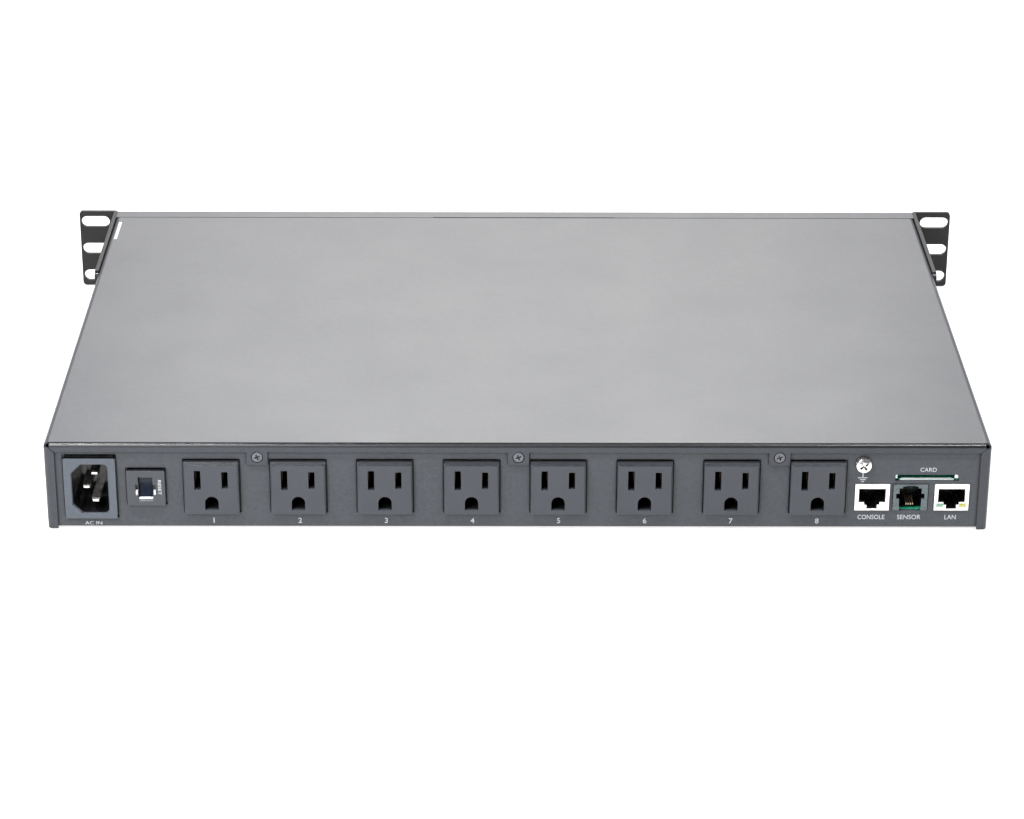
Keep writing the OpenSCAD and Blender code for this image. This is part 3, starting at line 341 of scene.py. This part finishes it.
SCREW = plated("dark_zinc", (0.16, 0.165, 0.18, 1), rough=0.36, crevice_shade=0.05)
BRACKET_SCREW = plated("black_oxide", (0.09, 0.09, 0.095, 1), rough=0.38)
PIN = plated("plated_brass", (0.90, 0.88, 0.82, 1), rough=0.18)
# Brass darkened far below its own colour: painted shade for contacts deep in the outlet slots
BRASS_IN_SHADE = plated("contact_brass_in_shade", (0.06, 0.045, 0.022, 1), rough=0.4, crevice_shade=0.05)
GOLD = plated("gold_flash", (0.98, 0.80, 0.52, 1), rough=0.3, crevice_shade=1.0)
COPPER = plated("tinned_copper", (0.85, 0.50, 0.32, 1), rough=0.3)
GREEN_LENS = lens("lens_green", (0.34, 0.60, 0.46, 1))
AMBER_LENS = lens("lens_amber", (0.70, 0.66, 0.16, 1))
CLEAR_LENS = lens("lens_clear", (0.70, 0.76, 0.72, 1), through=0.5)
WHITE_INK = ink("screen_ink_white", (0.52, 0.53, 0.55, 1))
LABEL_PAPER = ink("label_paper", (0.62, 0.63, 0.65, 1))

FINISH = {
    COVER_COAT_SHADED: ["top_cover"],
    COAT: ["chassis_tray", "front_panel"],
    BRACKET_COAT: ["left_bracket", "right_bracket"],
    OUTLET_NYLON: [f"outlet_{i}" for i in OUTLETS],
    HOUSING_NYLON: ["outlet_housings"],
    INLET_NYLON: ["inlet_housing"],
    BREAKER_NYLON: ["breaker_housing"],
    BUTTON_GLOSS: ["breaker_button"],
    IVORY: ["console_jack", "lan_jack"],
    JACK_GREY: ["sensor_jack"],
    INSULATOR: ["card_socket_body"],
    EJECTOR: ["card_ejector"],
    SMOKED: ["display_window"],
    DISPLAY: ["display_module"],
    SELECT: ["select_button"],
    JACKET: ["outlet_line_wires", "inlet_wires", "current_sensor"],
    RELAY: ["outlet_relays"],
    TAPE: ["supply_transformer"],
    SLEEVE: ["supply_capacitors"],
    CHIP: ["network_chips"],
    RIBBON: ["ribbon_cable"],
    BOARD: ["relay_board", "supply_board", "front_board"],
    JACK_BOARD: ["network_board"],
    CARD_BOARD: ["card_board"],
    NICKEL: ["ground_screw", "ground_washer"],
    ZINC: ["bracket_clinch_nuts", "panel_clinch_nuts", "board_standoffs", "board_screws"],
    SPRING: ["card_socket_shell"],
    SCREW: ["rear_cover_screws"],
    BRACKET_SCREW: ["bracket_screws"],
    PIN: ["inlet_pins", "breaker_terminals"],
    BRASS_IN_SHADE: ["outlet_line_contacts", "outlet_neutral_contacts", "outlet_earth_contacts"],
    COPPER: ["bus_bars"],
    GOLD: ["console_contacts", "sensor_contacts", "lan_contacts", "card_contacts"],
    GREEN_LENS: ["lan_link_light"],
    AMBER_LENS: ["lan_activity_light"],
    CLEAR_LENS: ["status_light_pipes"],
}
for material, names in FINISH.items():
    for name in names:
        mesh = NODES[name].data
        mesh.materials.clear()
        mesh.materials.append(material)


# ---------------------------------------------------------------- printed marks and added pieces

def add_piece(name, mesh, material, body="chassis"):
    """Adds a visual piece that rides on a body."""
    piece = bpy.data.objects.new(name, mesh)
    bpy.context.scene.collection.objects.link(piece)
    mesh.materials.clear()
    mesh.materials.append(material)
    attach(piece, body)


def as_mesh(made, name):
    """Turns a bmesh into a mesh and frees it."""
    mesh = bpy.data.meshes.new(name)
    made.to_mesh(mesh)
    made.free()
    return mesh


def boxes(parts):
    """Boxes in metres, each (low corner, high corner), as one mesh."""
    made = bmesh.new()
    for low, high in parts:
        low, high = Vector(low), Vector(high)
        cube = bmesh.ops.create_cube(made, size=1.0)["verts"]
        place = Matrix.Translation((low + high) / 2) @ Matrix.Diagonal((*(high - low), 1))
        bmesh.ops.transform(made, verts=cube, matrix=place)
    return as_mesh(made, "boxes")


# A printed mark is drawn flat, X to the right and Y up, then stood up on its surface
ON_REAR = Matrix(((1, 0, 0), (0, 0, -1), (0, 1, 0)))       # faces -Y, reads left to right
ON_FRONT = Matrix(((-1, 0, 0), (0, 0, 1), (0, 1, 0)))      # faces +Y
INK_MM = 0.03


def stand(mesh, turn, place):
    """Turns a flat mark up on to its surface and moves it to its place."""
    mesh.transform(Matrix.Translation(place) @ turn.to_4x4())
    mesh.update()
    return mesh


def lettering(text, height_mm, width_mm=None, bold=0.0, spin=0.0):
    """Flat letters as a mesh, centred on the origin, height_mm tall and width_mm wide."""
    curve = bpy.data.curves.new("lettering", "FONT")
    curve.body = text
    curve.size = 1.0
    curve.extrude = 0.001
    curve.offset = bold
    curve.resolution_u = 4
    holder = bpy.data.objects.new("lettering", curve)
    bpy.context.scene.collection.objects.link(holder)
    bpy.context.view_layer.update()
    mesh = bpy.data.meshes.new_from_object(holder.evaluated_get(bpy.context.evaluated_depsgraph_get()))
    bpy.data.objects.remove(holder)
    bpy.data.curves.remove(curve)
    xs = [v.co.x for v in mesh.vertices]
    ys = [v.co.y for v in mesh.vertices]
    zs = [v.co.z for v in mesh.vertices]
    tall = height_mm * MM / (max(ys) - min(ys))
    wide = width_mm * MM / (max(xs) - min(xs)) if width_mm else tall
    thick = INK_MM * MM / (max(zs) - min(zs))
    middle = Vector(((max(xs) + min(xs)) / 2, (max(ys) + min(ys)) / 2, min(zs)))
    mesh.transform(Matrix.Diagonal((wide, tall, thick, 1)) @ Matrix.Translation(-middle))
    if spin:
        mesh.transform(Matrix.Rotation(math.radians(spin), 4, "Z"))
    return mesh


def bars(rects):
    """Flat bars in millimetres, each (middle x, middle y, width, height), as one thin mesh."""
    return boxes([(Vector((x - w / 2, y - h / 2, 0)) * MM, Vector((x + w / 2, y + h / 2, INK_MM)) * MM)
                  for x, y, w, h in rects])


def print_on_rear(name, mesh, x, z, y=PANEL_Y):
    """Prints a mark with its middle at x and z, in millimetres, on the plane y."""
    add_piece(name, stand(mesh, ON_REAR, Vector((x * MM, y, z * MM))), WHITE_INK)


for i in OUTLETS:
    x = box_middle_x(f"outlet_{i}") / MM + 0.4
    print_on_rear(f"print_outlet_{i}", lettering(str(i), 2.7, bold=0.012), x, 3.75)

for name, width, x in (("console", 12.6, 165.6), ("sensor", 11.0, 183.3), ("lan", 5.3, 202.7)):
    print_on_rear(f"print_{name}", lettering(name.upper(), 2.3, width, bold=0.003), x, 5.9)
print_on_rear("print_card", lettering("CARD", 2.1, 7.6, bold=0.003), 191.2, 30.4)
print_on_rear("print_ac_in", lettering("AC IN", 1.7, 8.0), -198.6, 2.3)
print_on_rear("print_reset", lettering("RESET", 1.5, 7.6, bold=0.012, spin=-90), -166.7, 21.6,
              y=face_y("breaker_housing"))
EARTH_LINE = 0.45                            # line thickness of the earth mark
EARTH_BARS = [(0, 1.8, EARTH_LINE, 2.6), (0, 0.45, 4.4, EARTH_LINE), (0, -0.5, 2.7, EARTH_LINE),
              (0, -1.45, 1.2, EARTH_LINE)]
print_on_rear("print_earth", bars(EARTH_BARS), 160.8, 25.8)

# Numbers over the status lights on the front, right to left as seen from the rear
PIPE_WIDTH = 3.1 * MM
pipes_low, pipes_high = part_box("status_light_pipes")
pipe_pitch = (pipes_high.x - pipes_low.x - PIPE_WIDTH) / (len(OUTLETS) - 1)
for i in OUTLETS:
    x = pipes_high.x - PIPE_WIDTH / 2 - (i - 1) * pipe_pitch
    place = Vector((x, FRONT_Y, (pipes_high.z + pipes_low.z) / 2 + 5 * MM))
    mark = stand(lettering(str(i), 2.4, bold=0.01), ON_FRONT, place)
    add_piece(f"print_status_{i}", mark, WHITE_INK)


def label_strip():
    """Small blank paper label stuck down on the cover, with rounded corners."""
    x0, x1, y0, y1 = -217.3, -215.7, 262.6, 288.4
    r = 0.3
    thick = 0.06 * MM
    corner_steps = 4
    corners = ((x1 - r, y1 - r, 0), (x0 + r, y1 - r, 90), (x0 + r, y0 + r, 180), (x1 - r, y0 + r, 270))
    made = bmesh.new()
    ring = []
    for cx, cy, start in corners:
        for step in range(corner_steps + 1):
            turn = math.radians(start + 90 * step / corner_steps)
            p = at(cx + r * math.cos(turn), cy + r * math.sin(turn), 0)
            ring.append(made.verts.new((p.x, p.y, TOP_Z)))
    face = made.faces.new(ring)
    lifted = bmesh.ops.extrude_face_region(made, geom=[face])["geom"]
    lifted = [v for v in lifted if isinstance(v, bmesh.types.BMVert)]
    bmesh.ops.translate(made, verts=lifted, vec=(0, 0, thick))
    bmesh.ops.recalc_face_normals(made, faces=made.faces)
    return as_mesh(made, "label_strip")


add_piece("label_strip", label_strip(), LABEL_PAPER)


def reset_trim():
    """Pale pieces that stand for painted highlights: a glint along the foot of the reset button and
    one at each side; the ranges are in millimetres from the button's middle, the housing's face and
    the button's foot."""
    x = box_middle_x("breaker_button")
    y = face_y("breaker_housing")
    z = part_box("breaker_button")[0].z

    def block(xs, ys, zs):
        return tuple((x + xs[k] * MM, y + ys[k] * MM, z + zs[k] * MM) for k in (0, 1))

    foot = block((-3.3, 3.3), (0.3, 1.6), (-0.1, 0.65))
    side_glints = [block(xs, (0.3, 1.5), (2.0, 4.3)) for xs in ((-4.7, -3.75), (3.75, 4.7))]
    return boxes([foot, *side_glints])


# Painted highlights: pale pieces for the glints on the reset button
add_piece("reset_trim", reset_trim(), PAINTED_GLINTS, body="reset_button")


# ---------------------------------------------------------------- camera

EYE = at(-8.87, -1281.35, 639.46)
PITCH, YAW, ROLL = (math.radians(a) for a in (24.283, 0.272, 0.196))
FOCAL_LENGTH = 107.3                         # millimetres, on a 36 mm wide sensor
forward = Vector((math.sin(YAW) * math.cos(PITCH), math.cos(YAW) * math.cos(PITCH), -math.sin(PITCH)))
level = Vector((math.cos(YAW), -math.sin(YAW), 0))
upward = level.cross(forward)
right = level * math.cos(ROLL) + upward * math.sin(ROLL)
up = upward * math.cos(ROLL) - level * math.sin(ROLL)

lens_data = bpy.data.cameras.new("camera")
lens_data.sensor_fit = "HORIZONTAL"
lens_data.sensor_width = 36
lens_data.lens = FOCAL_LENGTH
lens_data.clip_start = 0.05
lens_data.clip_end = 50
camera = bpy.data.objects.new("camera", lens_data)
bpy.context.scene.collection.objects.link(camera)
camera.matrix_world = Matrix.Translation(EYE) @ Matrix((right, up, -forward)).transposed().to_4x4()
bpy.context.scene.camera = camera


# ---------------------------------------------------------------- floor, lights and view

def floor_material():
    """Pale seamless paper that glows, so that it stays white under the lamps."""
    s = Shader("studio_floor", Metallic=0.0, Specular_IOR_Level=0.1,
               Emission_Color=(1, 1, 1, 1), Emission_Strength=0.72)
    clouds = s.remap(s.noise(0.002, 2), 0.35, 0.65, 0, 1)
    tone = s.mix(clouds, (0.46, 0.46, 0.46, 1), (0.48, 0.48, 0.48, 1))
    return s.surface(tone, s.remap(s.noise(0.05, 2), 0.3, 0.7, 0.7, 0.8))


FLOOR_HALF = 8                               # metres
floor_corners = [(x * FLOOR_HALF, y * FLOOR_HALF, 0) for x, y in ((-1, -1), (1, -1), (1, 1), (-1, 1))]
floor_mesh = bpy.data.meshes.new("floor")
floor_mesh.from_pydata(floor_corners, [], [(0, 1, 2, 3)])
floor = bpy.data.objects.new("floor", floor_mesh)
floor.location.z = -0.5 * MM
floor_mesh.materials.append(floor_material())
bpy.context.scene.collection.objects.link(floor)


def softbox(name, place, target, width, height, radiance, color=(1, 1, 1)):
    """A rectangular lamp, in metres; radiance stays the same when its size changes."""
    data = bpy.data.lights.new(name, "AREA")
    data.shape = "RECTANGLE"
    data.size = width
    data.size_y = height
    data.energy = radiance * math.pi * width * height
    data.color = color
    lamp = bpy.data.objects.new(name, data)
    lamp.location = place
    lamp.rotation_euler = (Vector(target) - Vector(place)).to_track_quat("-Z", "Y").to_euler()
    bpy.context.scene.collection.objects.link(lamp)


LAMP_Z = 2.1
for name, x, radiance in (("overhead_left", -1.25, 0.5), ("overhead_right", 1.25, 0.2)):
    softbox(name, (x, -0.75, LAMP_Z), (0, 0, 0), 1.5, 1.1, radiance)
softbox("front_left", (-0.35, -0.65, 0.52), (-0.1, -0.15, 0.02), 0.35, 0.3, 16.0)
softbox("rear", (0.01, 3.2, LAMP_Z), (0, 0, 0.1), 1.6, 1.5, 6.85, (1.0, 0.978, 0.950))
# Three narrow lamps end to end along X, mirrored in the fold over the outlets
for name, x, width, radiance in (("strip_left", -0.82, 0.9, 120.0), ("strip_middle", 0.0, 0.7, 6.0),
                                 ("strip_right", 0.82, 0.9, 78.0)):
    softbox(name, (x, -0.72, LAMP_Z), (x, -0.15, 0), width, 0.14, radiance)


def studio_world():
    """A dark room that is brighter towards the back wall."""
    world = bpy.data.worlds.new("studio")
    world.use_nodes = True
    tree = world.node_tree
    coord = tree.nodes.new("ShaderNodeTexCoord")
    split = tree.nodes.new("ShaderNodeSeparateXYZ")
    ramp = tree.nodes.new("ShaderNodeMapRange")
    for socket, value in (("From Min", -0.5), ("From Max", 0.5), ("To Min", 0.14), ("To Max", 0.85)):
        ramp.inputs[socket].default_value = value
    tree.links.new(coord.outputs["Generated"], split.inputs[0])
    tree.links.new(split.outputs["Y"], ramp.inputs["Value"])
    tree.links.new(ramp.outputs[0], tree.nodes["Background"].inputs["Strength"])
    tree.nodes["Background"].inputs["Color"].default_value = (1, 1, 1, 1)
    return world


bpy.context.scene.world = studio_world()

bpy.context.scene.view_settings.view_transform = "Standard"
bpy.context.scene.view_settings.look = "None"
